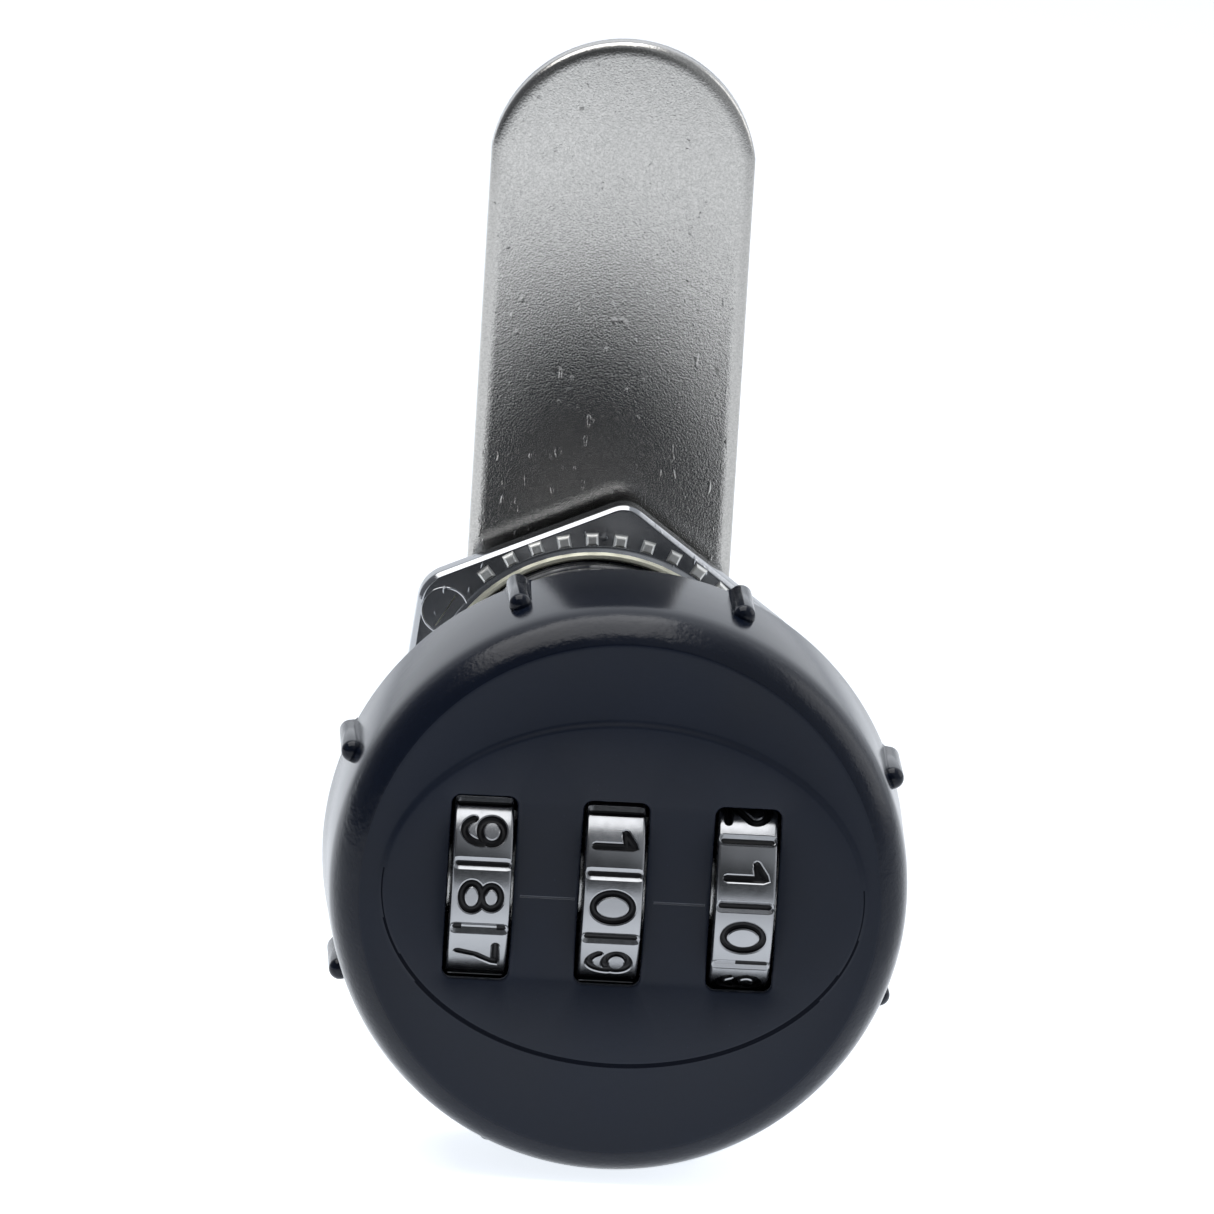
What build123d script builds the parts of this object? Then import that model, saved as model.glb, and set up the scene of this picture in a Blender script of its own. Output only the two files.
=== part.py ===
from build123d import *
import math
import os

os.makedirs("parts", exist_ok=True)

# Frame, in mm: Y is the lock's axis. The face looks towards -Y, the threaded barrel runs to +Y,
# the cam points to +Z and X is to the right. The origin is the centre of the mounting plane,
# the rear of the thin flange that seats on the panel.

# ---- driving dimensions ----
FLANGE_R, FLANGE_T = 15.9, 1.1            # thin seat behind the knob
THREAD_R, THREAD_CORE_R = 9.5, 8.95       # M19 x 1 barrel
BARREL_END = 36.3                         # barrel's rear end
BARREL_BORE_R = 4.5                       # bore for the spindle
RECESS_R, RECESS_Y = 5.45, 1.3            # pocket in the barrel's front for the spindle's head

KNOB_REAR_R, KNOB_FRONT_R = 16.85, 16.5   # side wall with draft
KNOB_REAR_Y, KNOB_EDGE_Y = -1.4, -10.9    # side wall from its rear edge to its front edge
FACE_R, FACE_Y = 14.95, -13.1             # flat face inside the chamfer
SHOULDER = [(16.68, -9.0), (16.66, -9.6), (16.6, -10.3)]  # side wall bending towards the chamfer
CHAMFER_BOW = 0.32                        # how far the chamfer swells out of the straight line
PAD_A, PAD_B, PAD_T = 14.0, 10.2, 0.25    # raised oval round the windows
PAD_X, PAD_Z = 0.15, 0.3                  # its centre
CAVITY_R, CAVITY_Y = 15.0, -12.25         # inside of the shell
POCKET_Y, POCKET_Z = -12.85, 4.2          # shallow pockets in its front wall for the sleeves' collars
RIB_R, RIB_C, RIB_LEN = 0.65, 16.85, 5.85  # eight round-nosed ribs on the side wall, and their centres' radius
RIB_ANGLES = [22.5 + 45 * i for i in range(8)]

WINDOW_W, WINDOW_H = 3.8, 10.8
WINDOW_X, WINDOW_Z = -0.5, 0.4            # middle window's centre; the dials share its X
PITCH_X = 7.55                            # window to window
INDEX_LINES = [(-5.75, -2.6), (1.9, 4.85)]  # marks between the windows, on the dials' axis
AXLE_Y, AXLE_Z = -9.1, 0.3                # dials' axis
DIAL_R, DIAL_W = 6.2, 3.4
AXLE_R = 1.5
SLEEVE_BORE_R = 1.56
HUB_R = 2.8                               # sleeve inside its dial
COLLAR_R, COLLAR_W = 3.6, 2.4             # sleeve's gated collar beside its dial
GATE_W, GATE_R = 2.1, 2.8                 # gate's width and the radius of its floor

BAR_STROKE = 1.0                          # lock bar's travel over the knob's quarter turn
BAR_Z0, BAR_Z1 = -8.8, -7.4               # lock bar's spine at rest
BAR_Y0, BAR_Y1 = AXLE_Y - 1.2, AXLE_Y + 1.2
TOOTH_W, TOOTH_T = 1.6, 1.6
TOOTH_TIP = AXLE_Z - (COLLAR_R + 0.25)
FOOT_R, FOOT_Z, FOOT_END = 0.8, -7.9, 0.6 # pin that follows the curved slot in the barrel
SLOT_CLEAR, SLOT_END = 0.15, 0.9

PLATE_R, PLATE_Y0, PLATE_Y1 = 14.9, -2.4, -1.6
BOSS_Z, BOSS_R = 12.7, 2.3

NUT_AF, NUT_Y0, NUT_Y1 = 23.0, 33.0, 34.7
NUT_SHARP, NUT_SOFT = 1.7, 2.2            # radii of alternate corners
NUT_BORE_R = 9.57
LIP_R, LIP_H = 10.35, 0.3                 # cone-shaped lip round the nut's bore
TOOTH_COUNT, TOOTH_IN, TOOTH_OUT, TOOTH_H = 40, 10.42, 11.22, 0.35

CAM_W, CAM_T, CAM_Y = 15.8, 1.6, 36.5
CAM_TIP, CAM_END_R = 40.45, 8.0
CAM_TAIL = 9.0                            # cam's rounded lower end below the axis
SQUARE = 7.0                              # spindle's square, corners cut round
SPINDLE_R = 4.42


def along_y(r, y0, y1, x=0.0, z=0.0):
    """Cylinder along Y."""
    c = Cylinder(r, y1 - y0, align=(Align.CENTER, Align.CENTER, Align.MIN))
    return Pos(x, y0, z) * Rot(-90, 0, 0) * c


def along_x(r, x0, x1, y=0.0, z=0.0):
    """Cylinder along X."""
    c = Cylinder(r, x1 - x0, align=(Align.CENTER, Align.CENTER, Align.MIN))
    return Pos(x0, y, z) * Rot(0, 90, 0) * c


def block(x0, x1, y0, y1, z0, z1):
    return Pos((x0 + x1) / 2, (y0 + y1) / 2, (z0 + z1) / 2) * Box(x1 - x0, y1 - y0, z1 - z0)


def turned(points):
    """Solid of revolution about Y from (radius, y) points."""
    face = make_face(Polyline(*[(r, y, 0) for r, y in points], close=True))
    return revolve(face, Axis.Y, 360)


def plate_from(sketch, y0, y1):
    """Sketch drawn with local x = X and local y = Z, given thickness along +Y."""
    s = Plane(origin=(0, y0, 0), x_dir=(1, 0, 0), z_dir=(0, -1, 0)) * sketch
    return extrude(s, amount=-(y1 - y0))


def save(shape, name, color):
    s = shape.solids() if hasattr(shape, "solids") else [shape]
    s = sorted(s, key=lambda v: -v.volume)
    print(f"{name:16s} solids {len(s)} volume {sum(v.volume for v in s):9.2f} valid {all(v.is_valid for v in s)}")
    out = s[0] if len(s) == 1 else Compound(children=list(s))
    out.label = name
    out.color = Color(*color)
    export_step(out, f"parts/{name}.step")
    return out


BLACK = (0.03, 0.035, 0.045)
SILVER = (0.72, 0.72, 0.74)
STEEL = (0.62, 0.62, 0.63)

# ---- knob shell ----
# outside: side wall with draft, softened chamfer, flat face
dr, dy = FACE_R - KNOB_FRONT_R, FACE_Y - KNOB_EDGE_Y
chord = math.hypot(dr, dy)
bow = []
for k in range(9):
    s = k / 8
    swell = 4 * CHAMFER_BOW * s * (1 - s)
    bow.append((KNOB_FRONT_R + dr * s - dy / chord * swell, KNOB_EDGE_Y + dy * s + dr / chord * swell))
shell = turned([
    (0, KNOB_REAR_Y), (KNOB_REAR_R - 0.25, KNOB_REAR_Y), (KNOB_REAR_R, KNOB_REAR_Y - 0.25)] + SHOULDER + bow + [(0, FACE_Y)])
# a rib: round bar along the wall with a rounded nose towards the front
nose = KNOB_REAR_Y - RIB_LEN
q = math.sqrt(0.5) * RIB_R
rib = make_face(
    Line((0, nose, 0), (0, KNOB_REAR_Y, 0)) + Line((0, KNOB_REAR_Y, 0), (RIB_R, KNOB_REAR_Y, 0))
    + Line((RIB_R, KNOB_REAR_Y, 0), (RIB_R, nose + RIB_R, 0))
    + ThreePointArc((RIB_R, nose + RIB_R, 0), (q, nose + RIB_R - q, 0), (0, nose, 0)))
rib = Pos(0, 0, RIB_C) * Rot(0, -90, 0) * revolve(rib, Axis.Y, 360)
for a in RIB_ANGLES:
    # angle from the cam's direction, clockwise as seen from the front
    shell = shell + Rot(0, a, 0) * rib
pad = plate_from(Pos(PAD_X, PAD_Z) * Ellipse(PAD_A, PAD_B), FACE_Y - PAD_T, FACE_Y + 0.2)
pad = chamfer(pad.edges().group_by(Axis.Y)[0], 0.16)
shell = shell + pad
shell = shell - turned([(0, CAVITY_Y), (CAVITY_R - 0.8, CAVITY_Y), (CAVITY_R, CAVITY_Y + 0.8), (CAVITY_R, KNOB_REAR_Y + 1), (0, KNOB_REAR_Y + 1)])
for s in (-1, 1):
    boss = along_y(BOSS_R, CAVITY_Y - 0.2, PLATE_Y0, 0, s * BOSS_Z)
    shell = shell + boss
    shell = shell - along_y(1.0, PLATE_Y0 - 6.5, PLATE_Y0 + 0.1, 0, s * BOSS_Z)
for i in (-1, 0, 1):
    win = plate_from(Pos(WINDOW_X + i * PITCH_X, WINDOW_Z) * RectangleRounded(WINDOW_W, WINDOW_H, 0.55), FACE_Y - 1, CAVITY_Y + 0.5)
    shell = shell - win
    # room for the dial behind the window's ends
    cx = WINDOW_X + i * PITCH_X
    shell = shell - (along_x(DIAL_R + 0.15, cx - WINDOW_W / 2, cx + WINDOW_W / 2, AXLE_Y, AXLE_Z)
                     & block(cx - WINDOW_W, cx + WINDOW_W, FACE_Y, CAVITY_Y + 0.5, -7, 7))
for i in (-1, 0, 1):
    px = WINDOW_X + i * PITCH_X + DIAL_W / 2 + 0.2
    shell = shell - block(px - 0.15, px + COLLAR_W + 0.15, POCKET_Y, CAVITY_Y + 0.1, -POCKET_Z, POCKET_Z)
for x0, x1 in INDEX_LINES:
    line = block(x0, x1, FACE_Y - PAD_T - 0.1, FACE_Y - PAD_T + 0.1, -0.09, 0.09)
    shell = shell - line
save(shell, "knob_shell", BLACK)

# ---- dials, each with ten grooves between its ten numbers ----
# turn of each dial away from a number on the index, in degrees
DIAL_TURN = [0.05, 2.3, 16.3]
for n in range(3):
    cx = WINDOW_X + (n - 1) * PITCH_X
    half = DIAL_W / 2
    prof = make_face(Polyline(
        (cx - half, HUB_R + 0.06), (cx + half, HUB_R + 0.06), (cx + half, DIAL_R - 0.45),
        (cx + half - 0.45, DIAL_R), (cx - half + 0.45, DIAL_R), (cx - half, DIAL_R - 0.45), close=True))
    dial = revolve(prof, Axis.X, 360)
    for k in range(10):
        g = Rot(36 * k + 18 + DIAL_TURN[n], 0, 0) * block(cx - half - 1, cx + half + 1, -DIAL_R - 0.5, -DIAL_R + 0.22, -0.16, 0.16)
        dial = dial - g
    dial = Pos(0, AXLE_Y, AXLE_Z) * dial
    save(dial, f"dial_{n + 1}", SILVER)

    # sleeve: hub inside the dial and a gated collar on its right
    c0 = cx + half + 0.2
    sleeve = along_x(HUB_R, cx - half - 0.1, c0 + 0.1) + along_x(COLLAR_R, c0, c0 + COLLAR_W) + along_x(2.3, c0 + COLLAR_W, c0 + COLLAR_W + 0.9)
    sleeve = sleeve - along_x(SLEEVE_BORE_R, cx - 5, c0 + 6)
    for s in (-1, 1):
        za, zb = sorted((s * GATE_R, s * (COLLAR_R + 1)))
        sleeve = sleeve - block(c0 - 0.01, c0 + COLLAR_W + 0.01, -GATE_W / 2, GATE_W / 2, za, zb)
    sleeve = Pos(0, AXLE_Y, AXLE_Z) * sleeve
    save(sleeve, f"dial_sleeve_{n + 1}", STEEL)

# ---- back plate with two ears that carry the axle ----
EAR_L = (-12.6, -11.4)
EAR_R = (12.45, 13.45)
plate = along_y(PLATE_R, PLATE_Y0, PLATE_Y1)
for e0, e1 in (EAR_L, EAR_R):
    plate = plate + block(e0, e1, AXLE_Y - 2.2, PLATE_Y0 + 0.1, -2.6, 2.6)
    plate = plate - along_x(AXLE_R + 0.01, e0 - 0.2, e1 + 0.2, AXLE_Y, AXLE_Z)
for i in (-1, 0, 1):
    cx = WINDOW_X + i * PITCH_X
    plate = plate - block(cx - 2.1, cx + 2.1, PLATE_Y0 - 0.1, PLATE_Y1 + 0.1, -3.9, 3.9)
plate = plate - block(-1.05, 1.05, PLATE_Y0 - 0.1, PLATE_Y1 + 0.1, -9.0, -5.9)
for s in (-1, 1):
    plate = plate - along_y(1.3, PLATE_Y0 - 0.1, PLATE_Y1 + 0.1, 0, s * BOSS_Z)
    # countersink
    cone = Pos(0, PLATE_Y1 + 0.01, s * BOSS_Z) * Rot(90, 0, 0) * Cone(2.15, 1.3, 0.8, align=(Align.CENTER, Align.CENTER, Align.MIN))
    plate = plate - cone
save(plate, "back_plate", STEEL)

# ---- axle, clips, clutch spring ----
axle = along_x(AXLE_R, EAR_L[0] - 1.0, EAR_R[1] + 0.35, AXLE_Y, AXLE_Z)
gx = EAR_L[0] - 0.6
axle = axle - (along_x(AXLE_R + 0.5, gx, gx + 0.45, AXLE_Y, AXLE_Z) - along_x(1.15, gx - 0.1, gx + 0.55, AXLE_Y, AXLE_Z))
save(axle, "dial_axle", STEEL)
clip = along_x(2.6, gx + 0.02, gx + 0.43, AXLE_Y, AXLE_Z) - along_x(1.15, gx - 0.5, gx + 1, AXLE_Y, AXLE_Z)
clip = clip - block(gx - 0.5, gx + 1, AXLE_Y - 0.85, AXLE_Y + 0.85, AXLE_Z - 3, AXLE_Z)
save(clip, "axle_clip", STEEL)

SPRING_X0, SPRING_X1, SPRING_TURNS, WIRE = -11.25, -10.05, 2, 0.2
pitch = (SPRING_X1 - SPRING_X0 - 2 * WIRE) / SPRING_TURNS
hel = Helix(pitch, pitch * SPRING_TURNS, 2.05)
prof = Plane(origin=hel @ 0, z_dir=hel % 0) * Circle(WIRE)
coil = sweep(prof, path=hel, is_frenet=True)
coil = Pos(SPRING_X0 + WIRE, AXLE_Y, AXLE_Z) * Rot(0, 90, 0) * coil
save(coil, "clutch_spring", STEEL)

# ---- detent spring: a comb of three fingers above the sleeves' collars ----
DET_Z = AXLE_Z + COLLAR_R + 0.45
DX0, DX1 = WINDOW_X - 5.9, WINDOW_X + 12.7
det = block(DX0, DX1, -2.65, PLATE_Y0, DET_Z + 0.1, 7.2) + block(DX0, DX1, -4.2, PLATE_Y0, DET_Z, DET_Z + 0.25)
for n in range(3):
    c0 = WINDOW_X + (n - 1) * PITCH_X + DIAL_W / 2 + 0.2
    det = det + block(c0 + 0.2, c0 + COLLAR_W - 0.2, -9.6, -4.0, DET_Z, DET_Z + 0.25)
    det = det + block(c0 + 0.2, c0 + COLLAR_W - 0.2, AXLE_Y - 0.25, AXLE_Y + 0.25, AXLE_Z + COLLAR_R + 0.1, DET_Z + 0.1)
# the strip clears the dials between the fingers
for i in (-1, 0, 1):
    cx = WINDOW_X + i * PITCH_X
    det = det - block(cx - 1.95, cx + 1.95, -13, -2.45, 4.0, 6.9)
save(det, "detent_spring", STEEL)

# ---- lock bar ----
bar = block(WINDOW_X - 5.2, WINDOW_X + 12.2, BAR_Y0, BAR_Y1, BAR_Z0, BAR_Z1)
for n in range(3):
    cc = WINDOW_X + (n - 1) * PITCH_X + DIAL_W / 2 + 0.2 + COLLAR_W / 2
    bar = bar + block(cc - TOOTH_W / 2, cc + TOOTH_W / 2, AXLE_Y - TOOTH_T / 2, AXLE_Y + TOOTH_T / 2, BAR_Z1 - 0.1, TOOTH_TIP)
bar = bar + along_y(FOOT_R, BAR_Y1 - 0.1, FOOT_END, 0, FOOT_Z)
save(bar, "lock_bar", STEEL)

# ---- plate screws ----
screws = None
for s in (-1, 1):
    sc = along_y(0.95, PLATE_Y0 - 5.0, PLATE_Y1 - 0.3, 0, s * BOSS_Z)
    head = Pos(0, PLATE_Y1, s * BOSS_Z) * Rot(90, 0, 0) * Cone(2.05, 1.2, 0.78, align=(Align.CENTER, Align.CENTER, Align.MIN))
    sc = sc + head
    sc = sc - block(-1.5, 1.5, PLATE_Y1 - 0.3, PLATE_Y1 + 0.1, s * BOSS_Z - 0.2, s * BOSS_Z + 0.2)
    screws = sc if screws is None else Compound(children=[screws.solids()[0], sc.solids()[0]])
save(screws, "plate_screws", STEEL)

# ---- spindle: head staked to the back plate, round shaft, square end for the cam ----
HEAD_R, HEAD_Y = 5.2, 0.75
spindle = along_y(HEAD_R, PLATE_Y1, HEAD_Y) + along_y(SPINDLE_R, 0, CAM_Y)
sq = plate_from(RectangleRounded(SQUARE, SQUARE, 0.2), CAM_Y - 0.5, CAM_Y + CAM_T - 0.15) & along_y(SPINDLE_R, CAM_Y - 1, CAM_Y + CAM_T)
spindle = spindle + sq
spindle = spindle - along_y(2.1, CAM_Y - 9, CAM_Y + CAM_T)
save(spindle, "spindle", STEEL)

washer = along_y(5.3, HEAD_Y + 0.05, RECESS_Y - 0.05) - along_y(SPINDLE_R + 0.15, HEAD_Y - 1, RECESS_Y + 1)
save(washer, "bearing_washer", (0.85, 0.84, 0.8))

# ---- barrel: flange, threaded body, curved slot for the lock bar's pin ----
barrel = turned([
    (0, -FLANGE_T), (FLANGE_R - 0.2, -FLANGE_T), (FLANGE_R, -FLANGE_T + 0.2), (FLANGE_R, 0),
    (THREAD_CORE_R, 0), (THREAD_CORE_R, 2.1), (THREAD_R, 2.7), (THREAD_R, BARREL_END - 0.6),
    (THREAD_R - 0.6, BARREL_END), (0, BARREL_END)])
barrel = barrel - along_y(BARREL_BORE_R, -5, BARREL_END + 5) - along_y(RECESS_R, -5, RECESS_Y)
R0 = -FOOT_Z
hw = FOOT_R + SLOT_CLEAR


def on_slot(theta, off):
    r = R0 - BAR_STROKE * theta / 90.0 + off
    t = math.radians(theta)
    return (r * math.sin(t), -r * math.cos(t))


outer = [on_slot(a, hw) for a in range(0, 91, 10)]
inner = [on_slot(a, -hw) for a in range(90, -1, -10)]
e0, e1 = on_slot(0, 0), on_slot(90, 0)
slot = make_face(
    Spline(*outer)
    + ThreePointArc(outer[-1], (e1[0], e1[1] + hw), inner[0])
    + Spline(*inner)
    + ThreePointArc(inner[-1], (e0[0] - hw, e0[1]), outer[0]))
barrel = barrel - plate_from(slot, -FLANGE_T - 0.5, SLOT_END)
save(barrel, "barrel", BLACK)

# ---- hex nut with a ring of raised teeth on the side that meets the panel ----
hexr = NUT_AF / 2 / math.cos(math.radians(30))
TOOTH_TURN = 8.5
NUT_TURN = 6.0  # corner's turn from the cam's direction, clockwise as seen from the front
pts = [(hexr * math.sin(math.radians(NUT_TURN + 60 * k)), hexr * math.cos(math.radians(NUT_TURN + 60 * k))) for k in range(6)]
nut = plate_from(make_face(Polyline(*pts, close=True)), NUT_Y0, NUT_Y1)
corner = [e for e in nut.edges() if abs(abs(e.tangent_at(0.5).Y) - 1) < 1e-3]


def angle_of(e):
    c = e.center()
    return math.degrees(math.atan2(c.X, c.Z)) % 360


corner.sort(key=angle_of)
sharp = [e for e in corner if round(((angle_of(e) - NUT_TURN) % 360) / 60) % 2 == 0]
soft = [e for e in corner if round(((angle_of(e) - NUT_TURN) % 360) / 60) % 2 == 1]
nut = fillet(soft, NUT_SOFT)
corner = [e for e in nut.edges() if abs(abs(e.tangent_at(0.5).Y) - 1) < 1e-3 and math.hypot(e.center().X, e.center().Z) > hexr - 0.05]
nut = fillet(corner, NUT_SHARP)
lip = turned([(0, NUT_Y0 + 0.2), (LIP_R, NUT_Y0 + 0.2), (LIP_R, NUT_Y0), (LIP_R - 0.35, NUT_Y0 - LIP_H), (0, NUT_Y0 - LIP_H)])
nut = nut + lip
nut = nut - along_y(NUT_BORE_R, 30, 40)
for k in range(TOOTH_COUNT):
    t = block(-0.4, 0.4, NUT_Y0 - TOOTH_H, NUT_Y0 + 0.1, TOOTH_IN, TOOTH_OUT)
    nut = nut + Rot(0, 360 / TOOTH_COUNT * k + NUT_TURN + TOOTH_TURN, 0) * t
save(nut, "hex_nut", SILVER)

# ---- cam: straight plate with rounded ends and a square hole ----
yc = math.sqrt(CAM_END_R ** 2 - (CAM_W / 2) ** 2)
cz = CAM_TIP - CAM_END_R
low = math.sqrt(max(CAM_TAIL ** 2 - (CAM_W / 2) ** 2, 0))
outline = make_face(
    Line((-CAM_W / 2, -low), (-CAM_W / 2, cz + yc))
    + ThreePointArc((-CAM_W / 2, cz + yc), (0, CAM_TIP), (CAM_W / 2, cz + yc))
    + Line((CAM_W / 2, cz + yc), (CAM_W / 2, -low))
    + ThreePointArc((CAM_W / 2, -low), (0, -CAM_TAIL), (-CAM_W / 2, -low)))
cam = plate_from(outline, CAM_Y, CAM_Y + CAM_T)
hole = plate_from(RectangleRounded(SQUARE + 0.1, SQUARE + 0.1, 0.2), CAM_Y - 1, CAM_Y + CAM_T + 1) & along_y(SPINDLE_R + 0.05, CAM_Y - 1, CAM_Y + CAM_T + 1)
cam = cam - hole
save(cam, "cam", STEEL)

# ---- screw and lock washer that hold the cam ----
W0 = CAM_Y + CAM_T
lock_washer = along_y(5.4, W0, W0 + 0.9) - along_y(2.6, W0 - 1, W0 + 2)
lock_washer = lock_washer - (Rot(0, 25, 0) * block(-0.4, 0.4, W0 - 1, W0 + 2, 2, 7))
save(lock_washer, "lock_washer", STEEL)
screw = along_y(2.05, CAM_Y - 7.5, W0 + 1.2) + along_y(4.6, W0 + 0.9, W0 + 3.1)
screw = chamfer(screw.edges().group_by(Axis.Y)[-1], 0.5)
for a in (0, 90):
    screw = screw - Rot(0, a, 0) * block(-0.5, 0.5, W0 + 1.9, W0 + 4, -2.6, 2.6)
save(screw, "cam_screw", STEEL)
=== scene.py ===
import math
import random

import bmesh
import bpy
from mathutils import Matrix, Vector


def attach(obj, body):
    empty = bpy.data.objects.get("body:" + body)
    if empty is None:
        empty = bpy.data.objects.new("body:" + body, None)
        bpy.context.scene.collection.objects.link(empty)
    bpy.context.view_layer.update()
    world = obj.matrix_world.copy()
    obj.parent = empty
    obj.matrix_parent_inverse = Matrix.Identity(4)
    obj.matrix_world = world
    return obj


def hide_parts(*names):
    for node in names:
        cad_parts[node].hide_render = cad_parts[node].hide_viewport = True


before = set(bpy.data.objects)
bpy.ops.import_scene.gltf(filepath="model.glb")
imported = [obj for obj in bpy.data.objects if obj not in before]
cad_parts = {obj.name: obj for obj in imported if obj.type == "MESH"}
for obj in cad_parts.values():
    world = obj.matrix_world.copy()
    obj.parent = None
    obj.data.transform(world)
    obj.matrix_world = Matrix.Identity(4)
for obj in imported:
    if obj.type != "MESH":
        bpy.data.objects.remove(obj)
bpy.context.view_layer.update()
random.seed(7)
MM = 0.001

# ---- sizes, in mm, the same as the CAD's ----
KNOB_REAR_R, KNOB_FRONT_R = 16.85, 16.5
KNOB_REAR_Y, KNOB_EDGE_Y = -1.4, -10.9
FACE_R, FACE_Y, CHAMFER_BOW = 14.95, -13.1, 0.32
SHOULDER = [(16.565, -10.6), (16.62, -9.9), (16.665, -9.0)]
PAD_T = 0.25
PAD_Y = FACE_Y - PAD_T
PAD_A, PAD_B, PAD_X, PAD_Z = 14.0, 10.2, 0.15, 0.3
CAVITY_R, CAVITY_Y = 15.0, -12.25
RIB_R, RIB_C, RIB_LEN = 0.65, 16.85, 5.85
WIN_W, WIN_H, WIN_X, WIN_Z, PITCH_X = 3.8, 10.8, -0.5, 0.4, 7.55
INDEX_LINES = [(-5.75, -2.6), (1.9, 4.85)]
AXLE_Y, AXLE_Z, DIAL_R, DIAL_W, HUB = -9.1, 0.3, 6.2, 3.4, 2.86
# figure at the index of each dial, in steps of 36 degrees
SHOWN = [8.0 + 0.05 / 36, 0.0 + 2.3 / 36, 0.5 - 1.7 / 36]
NUT_AF, NUT_Y0, NUT_Y1, NUT_TURN = 23.0, 33.0, 34.7, 6.0
NUT_SHARP, NUT_SOFT = 1.7, 2.2
LIP_R, LIP_H = 10.35, 0.3
TEETH, TOOTH_IN, TOOTH_OUT, TOOTH_H, TOOTH_TURN = 40, 10.42, 11.22, 0.35, 8.5
CAM_W, CAM_T, CAM_Y = 15.8, 1.6, 36.5
CAM_TIP, CAM_END_R, CAM_TAIL = 40.45, 8.0, 9.0
THREAD_R, BARREL_END = 9.5, 36.3
FLANGE_R, FLANGE_T = 15.9, 1.1


# ---------------------------------------------------------------- materials
def new_mat(name):
    m = bpy.data.materials.new(name)
    m.use_nodes = True
    nt = m.node_tree
    bsdf = nt.nodes["Principled BSDF"]
    return m, nt, bsdf


def node(nt, kind, **kw):
    n = nt.nodes.new(kind)
    for k, v in kw.items():
        setattr(n, k, v)
    return n


def coords(nt):
    return node(nt, "ShaderNodeTexCoord").outputs["Object"]


def noise(nt, vec, scale, detail=3.0, rough=0.55, stretch=None):
    if stretch:
        mp = node(nt, "ShaderNodeMapping")
        mp.inputs["Scale"].default_value = stretch
        nt.links.new(vec, mp.inputs["Vector"])
        vec = mp.outputs["Vector"]
    n = node(nt, "ShaderNodeTexNoise")
    n.inputs["Scale"].default_value = scale
    n.inputs["Detail"].default_value = detail
    n.inputs["Roughness"].default_value = rough
    nt.links.new(vec, n.inputs["Vector"])
    return n.outputs["Fac"]


def ramp(nt, fac, stops):
    r = node(nt, "ShaderNodeValToRGB")
    els = r.color_ramp.elements
    while len(els) < len(stops):
        els.new(0.5)
    for e, (p, c) in zip(els, stops):
        e.position = p
        e.color = c if len(c) == 4 else (*c, 1)
    nt.links.new(fac, r.inputs["Fac"])
    return r.outputs["Color"]


def span(nt, fac, a, b, lo, hi):
    r = node(nt, "ShaderNodeMapRange")
    r.inputs["From Min"].default_value = a
    r.inputs["From Max"].default_value = b
    r.inputs["To Min"].default_value = lo
    r.inputs["To Max"].default_value = hi
    nt.links.new(fac, r.inputs["Value"])
    return r.outputs["Result"]


def mix(nt, fac, a, b):
    m = node(nt, "ShaderNodeMix", data_type="RGBA")
    for sock, v in ((m.inputs[0], fac), (m.inputs[6], a), (m.inputs[7], b)):
        if isinstance(v, (tuple, list)):
            sock.default_value = v if len(v) == 4 else (*v, 1)
        elif isinstance(v, (int, float)):
            sock.default_value = v
        else:
            nt.links.new(v, sock)
    return m.outputs[2]


def bump(nt, bsdf, height, strength, dist):
    b = node(nt, "ShaderNodeBump")
    b.inputs["Strength"].default_value = strength
    b.inputs["Distance"].default_value = dist
    nt.links.new(height, b.inputs["Height"])
    nt.links.new(b.outputs["Normal"], bsdf.inputs["Normal"])
    return b


def paint(name, rough, spec, grain, base=(0.0035, 0.0055, 0.0115), peel=0.06):
    """Black paint over a zinc casting, with a soft orange peel, a fine grain and dust-sized flecks."""
    m, nt, b = new_mat(name)
    v = coords(nt)
    broad = noise(nt, v, 130, 3)
    soft = noise(nt, v, 520, 2, 0.5)
    fine = noise(nt, v, 4200, 4, 0.6)
    fleck = noise(nt, v, 5200, 2)
    dark = ramp(nt, broad, [(0.3, base), (0.75, tuple(c * 1.35 for c in base))])
    spots = ramp(nt, fleck, [(0.765, (0, 0, 0)), (0.80, (1, 1, 1))])
    col = mix(nt, spots, dark, tuple(c * 3.0 for c in base))
    nt.links.new(col, b.inputs["Base Color"])
    r = span(nt, broad, 0.3, 0.7, rough * 0.85, rough * 1.2)
    nt.links.new(r, b.inputs["Roughness"])
    b.inputs["Specular IOR Level"].default_value = spec
    add = node(nt, "ShaderNodeMath", operation="MULTIPLY_ADD")
    nt.links.new(soft, add.inputs[0])
    add.inputs[1].default_value = peel * 10
    nt.links.new(fine, add.inputs[2])
    bump(nt, b, add.outputs[0], grain, 0.00002)
    return m


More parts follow.
